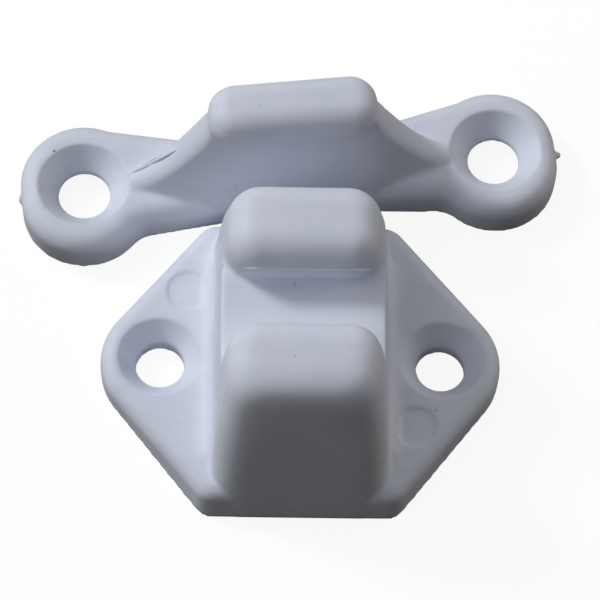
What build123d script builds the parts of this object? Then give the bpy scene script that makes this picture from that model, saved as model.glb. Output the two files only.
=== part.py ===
from build123d import *
import os
from math import cos, radians, sin, sqrt, tan

# A door retainer in two white moulded halves, laid on their backs on a flat surface.
# The catch stands at the origin: a countersunk plate with a block that holds a channel
# between two padded jaws. The T-bar striker lies behind it, turned a little: a flange with
# two countersunk ears, an upright web, and the bar that snaps in between the jaws.
# X runs along the channel, Z points away from the mounting surface, sizes are millimetres.

# Catch plate
hole_spacing = 28.2
plate_thickness = 3.8
plate_length = 40.1
plate_depth = 31.6
plate_end_radius = 6.8
plate_corner_spacing = 16.8
plate_corner_radius = 2.4
plate_edge_round = 1.6

# Screw seats in the catch
catch_bore = 4.9
catch_seat_width = 8.4
catch_seat_angle = 78

# Block that carries the jaws
block_length = 18.3
block_corner_radius = 3.2
block_proud = 0.06
flank_draft = 4.6
face_draft = 13.2
foot_cove = 1.5
foot_length = 21.0
foot_corner_radius = 0.9
foot_bite = 0.04
foot_bands = (-0.3, 0, 0.12, 0.4, 1)

# Channel and jaws
channel_height = 14.4
chamber_width = 6.9
lip_gap = 5.8
lip_rise = 2.4
jaw_rise = 5.7
jaw_draft = 9.0
jaw_edge_round = 3.0
jaw_corner_limit = 0.45
jaw_crown_limit = 0.4

# Hollow back of the catch
catch_wall = 2.4
core_web = 2.2
core_draft = 1.0
core_corner_radius = 1.2

# Ejector marks on the plate
ejector_width = 4.2
ejector_depth = 0.12
ejector_x = 11.4
ejector_y = 7.3

# Striker flange
ear_spacing = 42.6
ear_length = 12.9
ear_width = 14.7
flange_thickness = 4.3
flange_edge_round = 1.9
arm_waist_width = 7.2
arm_waist_length = 11.0
arm_end_width = 12.4
arm_end_shift = 1.1
arm_blend_radius = 3.0
flange_wall = 1.5
flange_recess = 1.2

# Screw seats in the striker
striker_bore = 5.3
striker_seat_width = 9.4
striker_seat_angle = 78

# Gate marks at the two ends of the striker
gate_height = 1.9
gate_width = 1.5
long_gate = 0.7
short_gate = 0.3
gate_taper = 18
gate_root = 0.8

# Web between flange and bar
web_half_length = 8.5
web_end_radius = 1.3
web_bar_radius = 1.9
web_end_draft = 12.5
web_bar_draft = 9.5
web_reach = 18.2
web_hollow = 1.85
web_stations = 6
web_root_round = 0.6

# Bar of the T
bar_length = 17.1
bar_width = 6.3
bar_neck_length = 16.4
bar_neck_width = 5.8
bar_top = 18.1
bar_depth = 3.4
bar_seat = 0.6
bar_shoulder_drop = 2.5
bar_corner_radius = 2.7
bar_edge_round = 2.4

# Hollow under the web
web_core_length = 14.0
web_core_height = 9.0
web_core_foot_width = 4.2
web_core_roof_width = 1.6
web_core_radius = 0.6

# Where the striker lies beside the catch
striker_x = -1.15
striker_y = 21.42
striker_turn = 6.4

# Sizes worked out from the ones above
half_spacing = hole_spacing / 2
half_ears = ear_spacing / 2
flank_slope = tan(radians(flank_draft))
face_slope = tan(radians(face_draft))
jaw_slope = tan(radians(jaw_draft))
block_height = channel_height + jaw_rise
core_height = channel_height - catch_wall
web_height = bar_top - bar_depth + bar_seat
half_ear = ear_length / 2


def block_length_at(height):
    """Length of the drafted block along the channel, at a height above its back."""
    return block_length - 2 * height * flank_slope


def jaw_length_at(height):
    """Length of a jaw along the channel: its ends lean in more than the block's do."""
    return block_length_at(channel_height) - 2 * (height - channel_height) * jaw_slope


def block_depth_at(height):
    """Depth of the drafted block across the channel, at a height above its back."""
    return plate_depth + 2 * block_proud - 2 * height * face_slope


with BuildPart() as socket_catch:
    # Plate: rounded round the two screws, with long edges that lean as the block's faces do
    for height in (0, plate_thickness):
        corner_depth = plate_depth - 2 * plate_corner_radius - 2 * height * face_slope
        with BuildSketch(Plane.XY.offset(height)):
            with GridLocations(plate_length - 2 * plate_end_radius, 0, 2, 1):
                Circle(plate_end_radius)
            with GridLocations(plate_corner_spacing, corner_depth, 2, 2):
                Circle(plate_corner_radius)
            make_hull()
    loft(ruled=True)
    fillet(socket_catch.edges().group_by(Axis.Z)[-1], radius=plate_edge_round)

    # Block up to the channel floor
    for height in (0, channel_height):
        with BuildSketch(Plane.XY.offset(height)):
            RectangleRounded(block_length_at(height), block_depth_at(height), block_corner_radius)
    loft(ruled=True)

    # Cove along each foot, in flat bands that follow a quarter circle
    for rise in foot_bands:
        height = plate_thickness + rise * foot_cove
        flare = foot_cove * (1 - sqrt(1 - (1 - max(rise, 0)) ** 2)) - foot_bite
        with BuildSketch(Plane.XY.offset(height)):
            RectangleRounded(
                block_length_at(height) + 2 * flare,
                foot_length + 2 * flare,
                foot_corner_radius,
            )
    loft(ruled=True)

    # Jaws: they lean over the channel and narrow its mouth, and their crowns are padded.
    # On a thin jaw the corners and the crown's round stay within its depth.
    crown_depth = (block_depth_at(block_height) - lip_gap) / 2
    jaw_corner = min(block_corner_radius, jaw_corner_limit * crown_depth)
    jaw_crown = min(jaw_edge_round, jaw_crown_limit * crown_depth)
    for side in (-1, 1):
        for height, gap in (
            (channel_height, chamber_width),
            (channel_height + lip_rise, lip_gap),
            (block_height, lip_gap),
        ):
            outer = block_depth_at(height) / 2
            with BuildSketch(Plane.XY.offset(height)):
                with Locations((0, side * (outer + gap / 2) / 2)):
                    RectangleRounded(
                        jaw_length_at(height), outer - gap / 2, jaw_corner
                    )
        loft(ruled=True)
    fillet(socket_catch.edges().group_by(Axis.Z)[-1], radius=jaw_crown)

    # Two drafted pockets lighten the block from behind, with a web left on the screw line
    for side in (-1, 1):
        for height in (0, core_height):
            narrowing = height * tan(radians(core_draft))
            inner = core_web / 2 + narrowing
            outer = block_depth_at(height) / 2 - catch_wall
            with BuildSketch(Plane.XY.offset(height)):
                with Locations((0, side * (outer + inner) / 2)):
                    RectangleRounded(
                        block_length_at(height) - 2 * catch_wall,
                        outer - inner,
                        core_corner_radius,
                    )
        loft(ruled=True, mode=Mode.SUBTRACT)

    # Screw holes with conical seats
    with Locations((-half_spacing, 0, plate_thickness), (half_spacing, 0, plate_thickness)):
        CounterSinkHole(
            catch_bore / 2, catch_seat_width / 2, depth=plate_thickness,
            counter_sink_angle=catch_seat_angle,
        )

    # Round marks where the ejector pins pressed
    with Locations((-ejector_x, ejector_y, plate_thickness), (ejector_x, -ejector_y, plate_thickness)):
        Hole(ejector_width / 2, depth=ejector_depth)


# The striker is drawn on its own bench plane, turned beside the catch
bench = Plane(
    origin=(striker_x, striker_y, 0),
    x_dir=(cos(radians(striker_turn)), sin(radians(striker_turn)), 0),
    z_dir=(0, 0, 1),
)


def web_section(x):
    """A drafted tongue across the web: high and stout at the bar, low and slim at the ears."""
    run = (web_reach - abs(x)) / (web_reach - web_half_length)
    crest = flange_thickness + (web_height - flange_thickness) * run**web_hollow
    crest_radius = web_end_radius + (web_bar_radius - web_end_radius) * run
    turn = radians(web_end_draft + (web_bar_draft - web_end_draft) * run)
    shoulder_y = crest_radius * cos(turn)
    shoulder_z = crest - crest_radius * (1 - sin(turn))
    root_z = flange_thickness / 2
    root_y = shoulder_y + (shoulder_z - root_z) * tan(turn)
    plane = Plane(
        origin=bench.from_local_coords(Vector(x, 0, 0)), x_dir=bench.y_dir, z_dir=bench.x_dir
    )
    with BuildSketch(plane) as tongue:
        with BuildLine():
            Polyline(
                (shoulder_y, shoulder_z), (root_y, root_z), (-root_y, root_z),
                (-shoulder_y, shoulder_z),
            )
            ThreePointArc((-shoulder_y, shoulder_z), (0, crest), (shoulder_y, shoulder_z))
        make_face()
    return tongue.sketch


with BuildPart(bench) as t_bar_striker:
    # Flange: two round ears joined by arms that narrow to a waist under the web
    with BuildSketch(bench) as flange_outline:
        with BuildLine():
            Polyline(
                (0, arm_waist_width / 2),
                (arm_waist_length / 2, arm_waist_width / 2),
                (half_ears, arm_end_width / 2 + arm_end_shift),
                (half_ears, arm_end_shift - arm_end_width / 2),
                (arm_waist_length / 2, -arm_waist_width / 2),
                (0, -arm_waist_width / 2),
            )
            mirror(about=Plane.YZ)
        make_face()
        with GridLocations(ear_spacing, 0, 2, 1):
            SlotOverall(ear_width, ear_length, rotation=90)
        joints = flange_outline.vertices().filter_by(
            lambda corner: abs(corner.Y) > arm_waist_width / 4
        )
        fillet(joints, radius=arm_blend_radius)
    extrude(amount=flange_thickness)
    fillet(t_bar_striker.edges().group_by(Axis.Z)[-1], radius=flange_edge_round)

    # Web: level in the middle, sweeping down to a rib that runs into each screw seat
    for side in (-1, 1):
        sections = []
        for station in range(web_stations):
            run = station / (web_stations - 1)
            x = web_half_length + run * (web_reach - web_half_length)
            sections.append(web_section(side * x))
        loft(sections)
    loft([web_section(-web_half_length), web_section(web_half_length)], ruled=True)
    web_roots = t_bar_striker.edges().filter_by_position(
        Axis.Z, flange_thickness - 0.01, flange_thickness + 0.01
    ).filter_by(GeomType.BSPLINE)
    fillet(web_roots, radius=web_root_round)

    # Bar: wider at its shoulders than at its neck, with a padded crown
    for height, length, width in (
        (bar_top - bar_depth, bar_neck_length, bar_neck_width),
        (bar_top - bar_shoulder_drop, bar_length, bar_width),
        (bar_top, bar_length, bar_width),
    ):
        with BuildSketch(bench.offset(height)):
            RectangleRounded(length, width, bar_corner_radius)
    loft(ruled=True)
    fillet(t_bar_striker.edges().group_by(Axis.Z)[-1], radius=bar_edge_round)

    # Recess behind the flange, and a slot that cores out the web
    with BuildSketch(bench):
        add(flange_outline.sketch_local)
        offset(amount=-flange_wall, mode=Mode.REPLACE)
    extrude(amount=flange_recess, mode=Mode.SUBTRACT)
    for height, width in ((0, web_core_foot_width), (web_core_height, web_core_roof_width)):
        with BuildSketch(bench.offset(height)):
            RectangleRounded(web_core_length, width, web_core_radius)
    loft(ruled=True, mode=Mode.SUBTRACT)

    # Screw holes with conical seats; the screw's head clears the end of each rib
    with Locations((-half_ears, 0, flange_thickness), (half_ears, 0, flange_thickness)):
        CounterSinkHole(
            striker_bore / 2, striker_seat_width / 2, depth=flange_thickness,
            counter_sink_angle=striker_seat_angle,
        )
        Cylinder(
            striker_seat_width / 2, flange_thickness,
            align=(Align.CENTER, Align.CENTER, Align.MIN), mode=Mode.SUBTRACT,
        )

    # Gate marks: the broken stubs where plastic ran in at the ends
    for side, stub in ((-1, short_gate), (1, long_gate)):
        root_x = half_ears + half_ear - gate_root
        root = bench.from_local_coords(Vector(side * root_x, 0, gate_height))
        with BuildSketch(Plane(origin=root, x_dir=bench.y_dir, z_dir=bench.x_dir * side)):
            Circle(gate_width / 2)
        extrude(amount=gate_root + stub, taper=gate_taper)

os.makedirs("parts", exist_ok=True)
socket_catch.part.label = "socket_catch"
export_step(socket_catch.part, "parts/socket_catch.step")
t_bar_striker.part.label = "t_bar_striker"
export_step(t_bar_striker.part, "parts/t_bar_striker.step")
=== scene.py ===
# %% [markdown]
# A T-bar door retainer is two small white mouldings: a catch that is screwed down, and a
# striker whose bar snaps into it. Both were drawn as solids first. This scene dresses those
# solids, so the first step loads them as a frame. Sizes are in metres and +Z points away
# from the surface that the mouldings lie on.

# %% Load the frame
from math import atan, cos, radians, sin

import bpy
from mathutils import Matrix, Vector


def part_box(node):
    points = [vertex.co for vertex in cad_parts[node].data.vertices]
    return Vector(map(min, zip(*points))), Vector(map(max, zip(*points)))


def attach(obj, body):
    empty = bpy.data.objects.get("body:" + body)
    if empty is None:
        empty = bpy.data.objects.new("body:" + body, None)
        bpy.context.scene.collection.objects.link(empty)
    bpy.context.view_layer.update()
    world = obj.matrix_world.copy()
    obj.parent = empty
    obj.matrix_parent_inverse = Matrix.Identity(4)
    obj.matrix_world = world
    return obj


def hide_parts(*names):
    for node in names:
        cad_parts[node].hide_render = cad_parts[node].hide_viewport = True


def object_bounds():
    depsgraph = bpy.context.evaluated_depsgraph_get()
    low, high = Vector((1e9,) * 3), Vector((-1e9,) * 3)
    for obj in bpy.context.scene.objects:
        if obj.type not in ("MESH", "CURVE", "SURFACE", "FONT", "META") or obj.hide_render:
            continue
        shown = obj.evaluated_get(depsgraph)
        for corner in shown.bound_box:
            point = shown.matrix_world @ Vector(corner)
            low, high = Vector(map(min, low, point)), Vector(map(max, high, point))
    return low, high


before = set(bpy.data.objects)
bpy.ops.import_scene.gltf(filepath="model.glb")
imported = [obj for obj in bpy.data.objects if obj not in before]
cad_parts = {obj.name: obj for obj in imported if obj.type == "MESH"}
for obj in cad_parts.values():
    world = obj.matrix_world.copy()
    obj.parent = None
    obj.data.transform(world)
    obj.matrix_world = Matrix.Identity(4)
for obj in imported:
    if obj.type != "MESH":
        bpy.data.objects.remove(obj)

cad_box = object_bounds()
MM = 0.001
for name in sorted(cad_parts):
    low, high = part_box(name)
    print(name, [round((b - a) / MM, 1) for a, b in zip(low, high)], "mm")

# %% [markdown]
# The photograph looks down on the pair from in front, a little from the left, with the
# picture rolled a few degrees. A camera can be placed by eye, but here it stands where a fit
# of the screw holes and the outlines put it: 300 mm away, behind a lens that sees 11.4
# degrees. So the render can be laid over the photograph.

# %% Camera
PHOTO_WIDTH = 600
FOCAL_PIXELS = 3000
aim = Vector((-0.157, 5.33, 6.0)) * MM
elevation = radians(64)
azimuth = radians(-3)
roll = radians(3.54)
distance = 300 * MM

back = Vector((
    sin(azimuth) * cos(elevation), -cos(azimuth) * cos(elevation), sin(elevation)
))
right = Vector((cos(azimuth), sin(azimuth), 0))
up = back.cross(right)
camera_x = right * cos(roll) + up * sin(roll)
camera_y = up * cos(roll) - right * sin(roll)

bpy.ops.object.select_all(action="DESELECT")
bpy.ops.object.camera_add()
camera = bpy.context.object
camera.name = "camera"
camera.matrix_world = Matrix.Translation(aim + back * distance) @ Matrix(
    (camera_x, camera_y, back)
).transposed().to_4x4()
camera.data.angle = 2 * atan(PHOTO_WIDTH / 2 / FOCAL_PIXELS)
camera.data.clip_start = 10 * MM
camera.data.clip_end = 10
bpy.context.scene.camera = camera
print("camera at", [round(c / MM, 1) for c in camera.location], "mm")

# %% [markdown]
# The far jaw's shadow in the channel and the dark faces towards the camera show where the
# light comes from: a window behind the left side of the pair, under 40 degrees up, with
# much more of the sky above it. A pale wall low on the right gives some of it back. Hardly
# anything comes from in front. Area lamps suit this, because the size of each one sets how
# soft its shadows are: the window is small and the sky is wide.

# %% Lights
LAMP_DISTANCE = 0.7
DAYLIGHT = (0.94, 0.975, 1.0)
WARM_PAINT = (1.0, 0.975, 0.94)


def add_lamp(name, colour, bearing, height, width, depth, power):
    """A lamp that faces the object: bearing clockwise from +Y, height above the floor."""
    towards = Vector((
        sin(radians(bearing)) * cos(radians(height)),
        cos(radians(bearing)) * cos(radians(height)),
        sin(radians(height)),
    ))
    bpy.ops.object.light_add(type="AREA", location=aim + towards * LAMP_DISTANCE)
    lamp = bpy.context.object
    lamp.name = name
    lamp.rotation_euler = towards.to_track_quat("Z", "Y").to_euler()
    lamp.data.shape = "RECTANGLE"
    lamp.data.size = width
    lamp.data.size_y = depth
    lamp.data.color = colour
    lamp.data.energy = power
    print(name, power, "W from", [round(c, 2) for c in towards])


add_lamp("window", DAYLIGHT, bearing=301, height=37, width=0.16, depth=0.16, power=2.15)
add_lamp("sky", DAYLIGHT, bearing=274, height=56, width=1.2, depth=1.2, power=2.95)
add_lamp("wall", WARM_PAINT, bearing=66, height=20, width=0.6, depth=0.4, power=1.35)

# %% [markdown]
# A material is a small network of nodes. It can be joined up link by link, but written as
# Python sums it reads better. So one class wraps a socket: its operators add Math nodes, and
# one method adds any other node.

# %% Wires between shader nodes
class Wire:
    """An output socket in a node tree, with Python's operators for shader maths."""

    def __init__(self, tree, socket=None):
        self.tree = tree
        self.socket = socket

    def node(self, kind, inputs=None, output=0, **settings):
        """Add a node: its settings first, then the values or wires of its sockets."""
        made = self.tree.nodes.new(kind)
        for name, value in settings.items():
            setattr(made, name, value)
        for key, value in (inputs or {}).items():
            if isinstance(value, Wire):
                self.tree.links.new(value.socket, made.inputs[key])
            else:
                made.inputs[key].default_value = value
        return Wire(self.tree, made.outputs[output] if made.outputs else None)

    def maths(self, operation, *values):
        return self.node("ShaderNodeMath", dict(enumerate(values)), operation=operation)

    def __add__(self, other):
        return self.maths("ADD", self, other)

    def __sub__(self, other):
        return self.maths("SUBTRACT", self, other)

    def __rsub__(self, other):
        return self.maths("SUBTRACT", other, self)

    def __mul__(self, other):
        return self.maths("MULTIPLY", self, other)

    __radd__ = __add__
    __rmul__ = __mul__

    def ease(self, low, high):
        """0 below low, 1 above high, and a smooth step between them."""
        return self.node(
            "ShaderNodeMapRange",
            {"Value": self, "From Min": low, "From Max": high},
            interpolation_type="SMOOTHSTEP",
        )

    def mix(self, first, second):
        """A colour from first to second, with this wire as the share of second."""
        return self.node(
            "ShaderNodeMix", {0: self, 6: first, 7: second}, output=2, data_type="RGBA"
        )


print("operators", [name for name in vars(Wire) if name.endswith(("add__", "sub__", "mul__"))])

# %% [markdown]
# Colours are read off a photograph as screen levels from 0 to 255, but shaders work in
# linear light. A short formula turns one into the other, so that the numbers in this file
# are the ones that a picture editor shows.

# %% Materials and colours
def new_material(name):
    """An empty material, and a wire to start its nodes from."""
    material = bpy.data.materials.new(name)
    material.use_nodes = True
    material.node_tree.nodes.clear()
    return material, Wire(material.node_tree)


def linear(red, green, blue):
    """A colour as seen on a screen, 0 to 255, as the linear colour that shaders use."""
    def one(level):
        level = level / 255
        return level / 12.92 if level <= 0.04045 else ((level + 0.055) / 1.055) ** 2.4
    return one(red), one(green), one(blue), 1


print("middle grey", [round(c, 2) for c in linear(128, 128, 128)])

# %% [markdown]
# The photograph is cut out on pure white. More light would give a white background too, but
# it would bleach the plastic. So the world is white only for the camera. The plastic
# reflects it far dimmer, as the real room was dim, and no light comes from it.

# %% White world
SHARE_REFLECTED = 0.2


def seen_directly(wire):
    """1 for a ray from the camera, less for a reflection, 0 where a ray gathers light."""
    seen = wire.node("ShaderNodeLightPath", output="Is Camera Ray")
    for ray, share in (("Is Glossy Ray", SHARE_REFLECTED), ("Is Transmission Ray", 1.0)):
        other = wire.node("ShaderNodeLightPath", output=ray) * share
        seen = seen.maths("MAXIMUM", seen, other)
    return seen


world = bpy.data.worlds.new("room")
bpy.context.scene.world = world
world.use_nodes = True
world.node_tree.nodes.clear()
room = Wire(world.node_tree)
background = room.node(
    "ShaderNodeBackground", {"Color": (1, 1, 1, 1), "Strength": seen_directly(room)}
)
room.node("ShaderNodeOutputWorld", {"Surface": background})
print("world nodes", len(world.node_tree.nodes))

# %% [markdown]
# The floor is treated in the same way. To the camera it is white paper that still takes the
# object's shadow. The light that it passes on is that of a dark wooden table, which leaves
# the near face of the catch as dark as in the photograph.

# %% White floor
FLOOR_SIZE = 3.0
FLOOR_SHOWN = 0.16
FLOOR_GLOW = 0.90
FLOOR_PASSED_ON = (0.11, 0.08, 0.055, 1)

bpy.ops.object.select_all(action="DESELECT")
bpy.ops.mesh.primitive_plane_add(size=FLOOR_SIZE, location=(0, 0, cad_box[0][2]))
floor = bpy.context.object
floor.name = "floor"
paper, start = new_material("paper")
gathered = start.node("ShaderNodeBsdfDiffuse", {"Color": FLOOR_PASSED_ON})
lit = start.node("ShaderNodeBsdfDiffuse", {"Color": (FLOOR_SHOWN,) * 3 + (1,)})
glow = start.node("ShaderNodeEmission", {"Color": (1, 1, 1, 1), "Strength": FLOOR_GLOW})
shown = start.node("ShaderNodeAddShader", {0: lit, 1: glow})
surface = start.node("ShaderNodeMixShader", {0: seen_directly(start), 1: gathered, 2: shown})
start.node("ShaderNodeOutputMaterial", {"Surface": surface})
floor.data.materials.append(paper)
print("floor at", cad_box[0][2] / MM, "mm")

# %% [markdown]
# The halves have been handled, and each mark of use or painted highlight sits at its own
# place. It could be painted on an image, but a distance does it without one: near a chosen
# point a mask is 1, and noise added to the distance makes the edge of the mask ragged.

# %% Ragged patches
EDGE_NOISE = 0.6
PATCH_FADE = 1.5


def patch(place, centre, radius, raggedness):
    """1 inside a small ragged patch round a place on the object, 0 away from it."""
    away = place.node(
        "ShaderNodeVectorMath", {0: place, 1: Vector(centre) * MM}, output=1,
        operation="DISTANCE",
    )
    radius = radius * MM
    rough_edge = place.node("ShaderNodeTexNoise", {
        "Vector": place, "Scale": EDGE_NOISE / radius, "Detail": 2.0,
    })
    return 1 - (away + rough_edge * raggedness * radius).ease(radius, PATCH_FADE * radius)


print("a patch of 0.2 mm fades out by", PATCH_FADE * 0.2, "mm")

# %% [markdown]
# Both halves are injection moulded in a white plastic with a little blue in it. It is satin
# rather than shiny, faintly cloudy and streaked from the flow in the mould, and it has a few
# pits. One plain colour would look like a computer's plastic. So noise of three sizes shades
# the colour, the roughness and a slight bump together, and cells of a Voronoi texture make
# the pits. The scales below are in repeats to a metre. The streaks have a smaller scale
# along X, which draws them out to eight times their width.

# %% Moulded plastic
CLOUD_SCALE = 110.0
STREAK_SCALE = 900.0
STREAK_SHAPE = (0.12, 1, 1)
GRAIN_SCALE = 2600.0
PIT_SCALE = 210.0
CLOUD_COLOURS = (linear(230, 234, 247), linear(237, 240, 252))
STREAK_COLOUR = linear(221, 225, 241)
PIT_COLOUR = linear(150, 150, 156)
SATIN_ROUGHNESS = 0.42
BUMP_DEPTH = 0.12 * MM


def moulded_plastic(name, offset, marks):
    """White satin plastic: cloudy colour, streaks, fine grain, marks of use and painted
    highlights.
    """
    material, start = new_material(name)
    place = start.node("ShaderNodeTexCoord", output="Object")
    moved = start.node("ShaderNodeMapping", {"Vector": place, "Location": offset})
    clouds = start.node("ShaderNodeTexNoise", {
        "Vector": moved, "Scale": CLOUD_SCALE, "Detail": 3.0, "Roughness": 0.55,
    })
    drawn_out = start.node("ShaderNodeMapping", {"Vector": moved, "Scale": STREAK_SHAPE})
    streaks = start.node("ShaderNodeTexNoise", {
        "Vector": drawn_out, "Scale": STREAK_SCALE, "Detail": 3.0, "Roughness": 0.55,
    })
    grain = start.node("ShaderNodeTexNoise", {
        "Vector": moved, "Scale": GRAIN_SCALE, "Detail": 2.0, "Roughness": 0.6,
    })
    pits = start.node("ShaderNodeTexVoronoi", {
        "Vector": moved, "Scale": PIT_SCALE, "Randomness": 1.0,
    })
    colour = clouds.ease(0.35, 0.7).mix(*CLOUD_COLOURS)
    colour = (streaks.ease(0.45, 0.75) * 0.35).mix(colour, STREAK_COLOUR)
    colour = ((1 - pits.ease(0.02, 0.06)) * 0.4).mix(colour, PIT_COLOUR)
    # Each mark is a dark speck or a painted highlight, and both make the surface a little
    # rougher.
    specks_and_highlights = 0
    for centre, radius, mark_colour in marks:
        mask = patch(place, centre, radius, raggedness=0.8)
        colour = (mask * 0.8).mix(colour, linear(*mark_colour))
        specks_and_highlights = mask + specks_and_highlights
    roughness = clouds * 0.10 + grain * 0.10 + specks_and_highlights * 0.15 + SATIN_ROUGHNESS
    height = clouds * 0.5 + streaks * 0.3 + grain * 0.10
    bump = start.node("ShaderNodeBump", {
        "Height": height, "Strength": 0.3, "Distance": BUMP_DEPTH,
    })
    plastic = start.node("ShaderNodeBsdfPrincipled", {
        "Base Color": colour, "Roughness": roughness, "Normal": bump,
        "IOR": 1.46, "Specular IOR Level": 0.3,
    })
    start.node("ShaderNodeOutputMaterial", {"Surface": plastic})
    return material


print("white plastic", [[round(c, 2) for c in colour] for colour in CLOUD_COLOURS])

# %% [markdown]
# Each mark is listed with its place in millimetres, its radius and its colour. The catch has
# a chip on its near face, painted pale as a highlight, painted highlights along the foot of
# its block and a dark speck on its near jaw. The striker has dark specks on its left ear and
# on its bar, and a painted highlight on that ear. A different offset keeps the two halves from
# sharing one pattern of clouds.

# %% Marks of use and painted highlights
# The pale colour is a painted highlight, where light glints on a chip, on the block's foot and
# on the striker's ear; the dark specks are the plastic's own.
PAINTED_HIGHLIGHT = (244, 250, 255)
DARK_SPECK = (120, 112, 108)
catch_marks = [
    ((-2.4, -13.55, 9.7), 0.18, PAINTED_HIGHLIGHT),
    ((9.66, -5.08, 3.95), 0.30, PAINTED_HIGHLIGHT),
    ((9.7, -8.4, 3.92), 0.22, PAINTED_HIGHLIGHT),
    ((9.78, -11.5, 3.9), 0.28, PAINTED_HIGHLIGHT),
    ((-0.9, -7.4, 20.0), 0.12, DARK_SPECK),
]
striker_marks = [
    ((-25.48, 22.8, 4.2), 0.2, DARK_SPECK),
    ((-4.48, 20.66, 18.0), 0.14, DARK_SPECK),
    ((-27.2, 18.5, 4.0), 0.25, PAINTED_HIGHLIGHT),
]
catch_plastic = moulded_plastic("catch plastic", (0, 0, 0), catch_marks)
striker_plastic = moulded_plastic("striker plastic", (0.13, 0.07, 0.02), striker_marks)
for plastic in (catch_plastic, striker_plastic):
    print(plastic.name, len(plastic.node_tree.nodes), "nodes")

# %% [markdown]
# The Smooth modifier moves each vertex towards its neighbours, and a vertex group limits it
# to a part of the mesh. Used sideways only, it evens out an outline and leaves the flat
# underside where it is. Two helpers make this short: one picks an object, the other smooths
# the vertices that pass a test.

# %% Smooth a part of a mesh
def pick(thing):
    """Make one object the active one and the only one selected."""
    bpy.ops.object.select_all(action="DESELECT")
    thing.select_set(True)
    bpy.context.view_layer.objects.active = thing


def smooth_part(skin, name, passes, is_inside, upright=True):
    """Smooth only the vertices for which the test holds, or only sideways."""
    group = skin.vertex_groups.new(name=name)
    chosen = [v.index for v in skin.data.vertices if is_inside(v.co)]
    group.add(chosen, 1, "REPLACE")
    smooth = skin.modifiers.new(name, "SMOOTH")
    smooth.factor = 0.5
    smooth.iterations = passes
    smooth.use_z = upright
    smooth.vertex_group = group.name
    bpy.ops.object.modifier_apply(modifier=smooth.name)
    print(skin.name, name, len(chosen), "vertices smoothed")


# %% [markdown]
# The solid model has crisp edges where two faces meet. A real moulding is softer: the tool
# is polished by hand and the plastic shrinks as it cools. A Bevel modifier would round the
# edges, but it stumbles over the long thin triangles of a solid model. So each half is
# copied, welded, rebuilt with even squares and smoothed until its creases have a small
# radius. The edge that rests on the mounting surface stays crisp: it is smoothed less, and
# only sideways.

# %% Soft skins over the solids
WELD = 0.002 * MM
BACK_EDGE = 0.5 * MM
BACK_PASSES = 8


def soft_skin(node, name, square, passes, plastic):
    """A welded and softened copy of a CAD node that stands for it."""
    skin = bpy.data.objects.new(name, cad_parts[node].data.copy())
    bpy.context.scene.collection.objects.link(skin)
    pick(skin)
    bpy.ops.object.mode_set(mode="EDIT")
    bpy.ops.mesh.select_all(action="SELECT")
    bpy.ops.mesh.remove_doubles(threshold=WELD)
    bpy.ops.mesh.normals_make_consistent(inside=False)
    bpy.ops.object.mode_set(mode="OBJECT")
    remesh = skin.modifiers.new("squares", "REMESH")
    remesh.mode = "VOXEL"
    remesh.voxel_size = square
    bpy.ops.object.modifier_apply(modifier=remesh.name)
    smooth_part(skin, "soft edges", passes, lambda co: co.z > BACK_EDGE)
    smooth_part(
        skin, "back edge", BACK_PASSES, lambda co: co.z < 2 * BACK_EDGE, upright=False
    )
    bpy.ops.object.shade_smooth()
    skin.data.materials.clear()
    skin.data.materials.append(plastic)
    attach(skin, "root")
    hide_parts(node)
    print(name, len(skin.data.polygons), "faces")
    return skin


catch_skin = soft_skin(
    node="socket_catch", name="catch_moulding", square=0.234 * MM, passes=6,
    plastic=catch_plastic,
)
striker_skin = soft_skin(
    node="t_bar_striker", name="striker_moulding", square=0.186 * MM, passes=7,
    plastic=striker_plastic,
)

# %% [markdown]
# On the striker the bar's two ends flow down into the web, and the solid model leaves a
# hard corner there. More smoothing works only round those corners. The test for them
# measures along the bar, which lies turned by a few degrees.

# %% Flow from the bar into the web
STRIKER_TURN = radians(6.4)
BAR_END = 8.55 * MM
FLOW_REACH = 2.3 * MM
FLOW_HEIGHTS = (11.6 * MM, 17.2 * MM)
FLOW_PASSES = 60
striker_low, striker_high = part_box("t_bar_striker")
striker_middle = (Vector(striker_low) + Vector(striker_high)) / 2


def near_bar_end(co):
    """Whether a vertex lies round the corner between an end of the bar and the web."""
    away = co - striker_middle
    along = away.x * cos(STRIKER_TURN) + away.y * sin(STRIKER_TURN)
    low, high = FLOW_HEIGHTS
    return abs(abs(along) - BAR_END) < FLOW_REACH and low < co.z < high


pick(striker_skin)
smooth_part(striker_skin, "flow", FLOW_PASSES, near_bar_end)

# %% [markdown]
# The catch's near jaw has a rounder back than the solid model, and its light fades over a
# wide band. The smoothing runs in stages, each a margin wider and a little weaker than the
# one before, because a single stage would leave a crease at its border. Every stage stays
# clear of the lip over the channel.

# %% Rounder back of the near jaw
CROWN_START = 13.5 * MM
CROWN_BACK = -8.6 * MM
CROWN_STAGES = ((0.0, 120), (0.7, 70), (1.4, 40), (2.0, 20), (2.4, 10))


def near_jaw_back(co, margin):
    """Whether a vertex lies on the back of the near jaw's crown, or a margin past it."""
    return co.y < CROWN_BACK + margin and co.z > CROWN_START - margin


pick(catch_skin)
for margin, passes in CROWN_STAGES:
    smooth_part(
        catch_skin, "near crown", passes, lambda co: near_jaw_back(co, margin * MM)
    )

# %% [markdown]
# Two round marks on the catch's plate show where pins pushed the moulding out of its tool.
# The smoothing has made them faint. They could be cut again with a Boolean, but that
# would break the even squares. So the vertices inside each circle are selected and pressed
# down a little.

# %% Ejector marks
MARK_PLACES = ((-11.4 * MM, 7.3 * MM), (11.4 * MM, -7.3 * MM))
MARK_RADIUS = 2.1 * MM
MARK_DEPTH = 0.11 * MM
PLATE_TOP = 3.8 * MM
NEAR_TOP = 0.4 * MM

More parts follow.
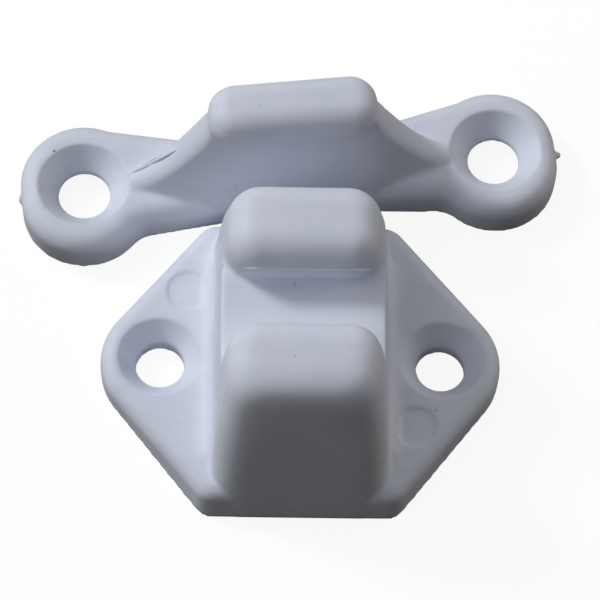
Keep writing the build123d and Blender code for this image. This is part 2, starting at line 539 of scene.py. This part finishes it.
pick(catch_skin)
for x, y in MARK_PLACES:
    bpy.ops.object.mode_set(mode="EDIT")
    bpy.ops.mesh.select_mode(type="VERT")
    bpy.ops.mesh.select_all(action="DESELECT")
    bpy.ops.object.mode_set(mode="OBJECT")
    for v in catch_skin.data.vertices:
        in_circle = (v.co.x - x) ** 2 + (v.co.y - y) ** 2 < MARK_RADIUS**2
        v.select = in_circle and abs(v.co.z - PLATE_TOP) < NEAR_TOP
    bpy.ops.object.mode_set(mode="EDIT")
    bpy.ops.transform.translate(value=(0, 0, -MARK_DEPTH))
    bpy.ops.object.mode_set(mode="OBJECT")
    print("mark at", round(x / MM, 1), round(y / MM, 1), "mm")

# %% [markdown]
# Where the two halves of the tool met, a thin line of plastic squeezed out. It catches the
# light on the far jaw's crown, and runs up the left rib of the striker. A curve with a round
# bevel could draw such a line. A sphere that is drawn out long and thin is simpler, because
# it tapers by itself at both ends. Each one is sunk halfway into the surface.

# %% Flash lines
JAW_LINES = (
    ("jaw_flash", (-6.0, 2.93, 17.7), (6.5, 2.93, 17.7), 0.17),
)
RIB_LINES = (
    ("rib_flash_low", (-17.9, 20.2, 4.25), (-15.2, 20.42, 6.45), 0.17),
    ("rib_flash_high", (-15.5, 20.42, 6.2), (-12.83, 20.27, 9.5), 0.17),
    ("rib_flash_far", (-16.4, 20.72, 5.12), (-14.2, 21.07, 7.25), 0.16),
)


def flash_line(name, first_end, second_end, radius, plastic, slot):
    """A thin rod between two places in millimetres, with tapered ends."""
    first_end, second_end = Vector(first_end) * MM, Vector(second_end) * MM
    along = second_end - first_end
    bpy.ops.object.select_all(action="DESELECT")
    bpy.ops.mesh.primitive_uv_sphere_add(
        segments=24, ring_count=12, radius=1, location=(first_end + second_end) / 2,
        rotation=along.to_track_quat("Z", "Y").to_euler(),
    )
    line = bpy.context.object
    line.name = name
    line.scale = (radius * MM, radius * MM, along.length / 2)
    bpy.ops.object.transform_apply(location=True, rotation=True, scale=True)
    bpy.ops.object.shade_smooth()
    line.data.materials.append(plastic)
    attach(line, "root")
    print(name, round(along.length / MM, 1), "mm long")


for line in JAW_LINES:
    flash_line(*line, catch_plastic, "catch_plastic")
for line in RIB_LINES:
    flash_line(*line, striker_plastic, "striker_plastic")

# %% [markdown]
# The last cell keeps the plain view transform, so that a colour shows as it was written.

# %% Finish
bpy.context.scene.view_settings.view_transform = "Standard"
